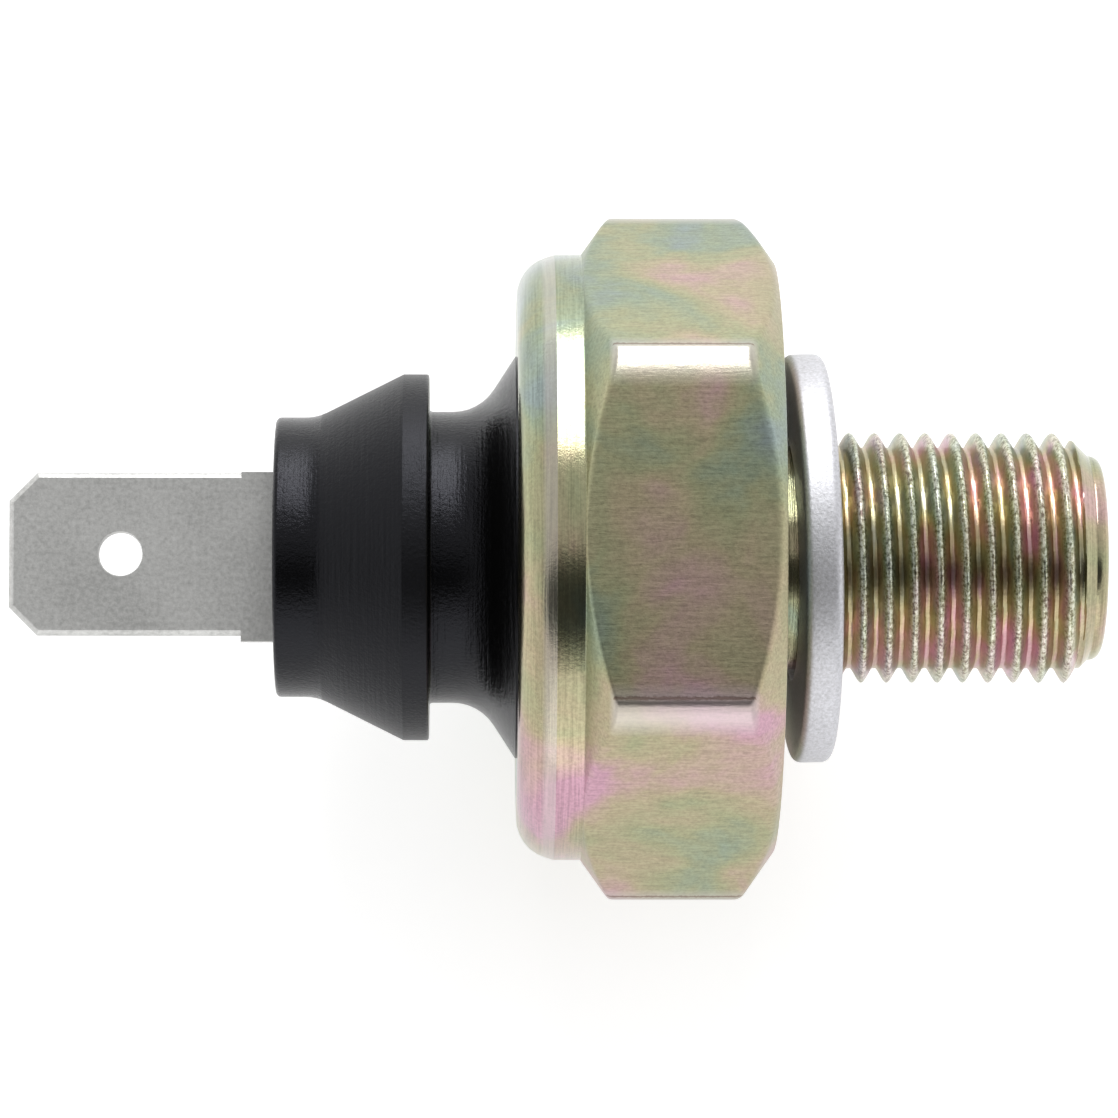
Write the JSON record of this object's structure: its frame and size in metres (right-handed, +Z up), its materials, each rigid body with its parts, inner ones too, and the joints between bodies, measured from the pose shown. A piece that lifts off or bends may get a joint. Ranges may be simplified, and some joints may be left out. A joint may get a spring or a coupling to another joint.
{
  "type": "oil pressure sender",
  "caption": "Engine oil pressure sender: black insulator with a blade terminal crimped into a yellow-zinc hexagon body with a short male thread and a loose aluminium sealing washer.",
  "frame": {"origin": "centre of the hexagon's seat face, on the thread's axis", "axes": "+X along the thread towards its tip, +Z up out of the top flat of the hexagon as the sender lies on the opposite flat"},
  "size_m": [0.0429, 0.0269, 0.024],
  "materials": {
    "zinc_steel": "zinc plated, yellow chromate, satin",
    "aluminium_washer": "bare, fine grain",
    "black_moulding": "moulded, satin",
    "tinned_blade": "tinned, matt",
    "brass_seat": "stamped",
    "spring_steel": "drawn wire",
    "plated_contact": "silver plated",
    "steel_contact": "zinc plated, stamped",
    "white_moulding": "moulded",
    "film_backing": "polyimide film",
    "film_oil_side": "polyimide film",
    "seal_rubber": "moulded rubber"
  },
  "bodies": {
    "housing": {"hex_body": "zinc_steel", "sealing_washer": "aluminium_washer", "insulator": "black_moulding", "blade_terminal": "tinned_blade", "spring_seat": "brass_seat", "calibration_spring": "spring_steel", "fixed_contact": "steel_contact", "diaphragm_backing": "film_backing", "diaphragm_film": "film_oil_side", "seal_ring": "seal_rubber"},
    "push_group": {"plunger": "white_moulding", "moving_contact": "plated_contact"}
  },
  "joints": [
    {"name": "plunger_slide", "type": "slide", "parent": "housing", "child": "push_group", "axis": [-1, 0, 0], "range_m": [0, 0.0006], "stiffness_N_per_m": 1500, "springref_m": -0.003, "deforming": ["calibration_spring", "diaphragm_backing", "diaphragm_film"]}
  ]
}
